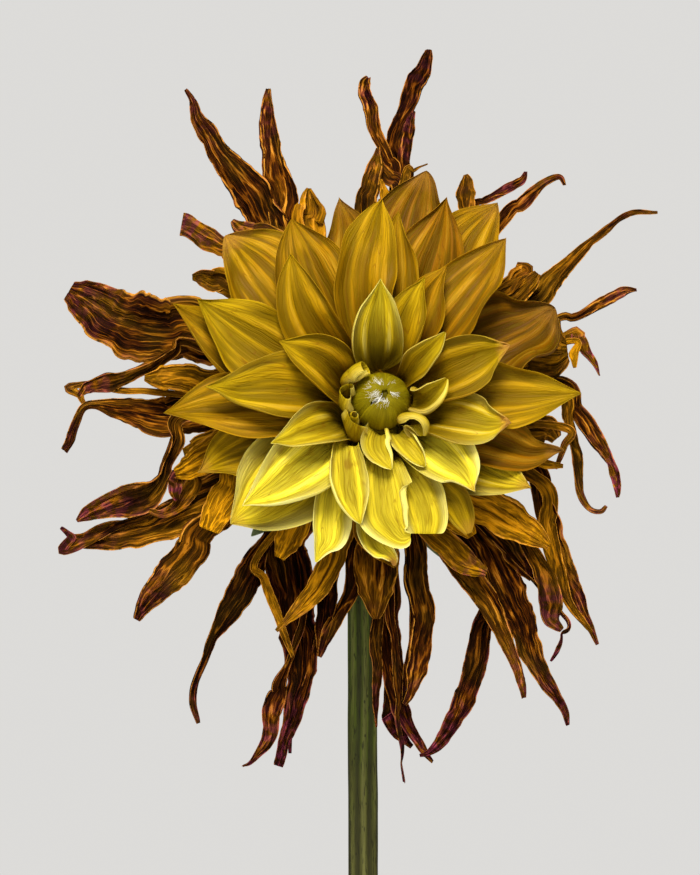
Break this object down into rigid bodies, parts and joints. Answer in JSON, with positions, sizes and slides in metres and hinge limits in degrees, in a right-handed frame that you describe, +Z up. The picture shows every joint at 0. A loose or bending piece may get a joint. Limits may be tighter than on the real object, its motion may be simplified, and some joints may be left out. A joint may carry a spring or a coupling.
{
  "type": "dahlia in vase",
  "caption": "Cut dahlia with a fresh yellow centre and curled, withered outer petals, nodding to the front on a stem that stands in water in a clear glass bottle vase.",
  "frame": {"origin": "middle of the vase's flat foot, on the surface that the vase stands on", "axes": "+Z up, -Y to the front, where the bloom faces, +X to the right as seen from the front"},
  "size_m": [0.1938, 0.1374, 0.4391],
  "materials": {
    "vase_glass": "clear smooth glass",
    "water": "clear still water",
    "stem_green": "ribbed green plant stem with long dark streaks, satin",
    "withered_petal": "dry wrinkled petal, orange-brown ridges, dark valleys, purple edges",
    "fresh_petal": "soft veined petal, lemon yellow to amber, satin",
    "bud_green": "tight olive-green florets, fine silky hairs, satin"
  },
  "bodies": {
    "root": {"vase": "vase_glass", "water": "water", "stem": "stem_green", "withered_florets": "withered_petal", "fresh_florets": "fresh_petal", "bud": "bud_green"}
  },
  "joints": []
}
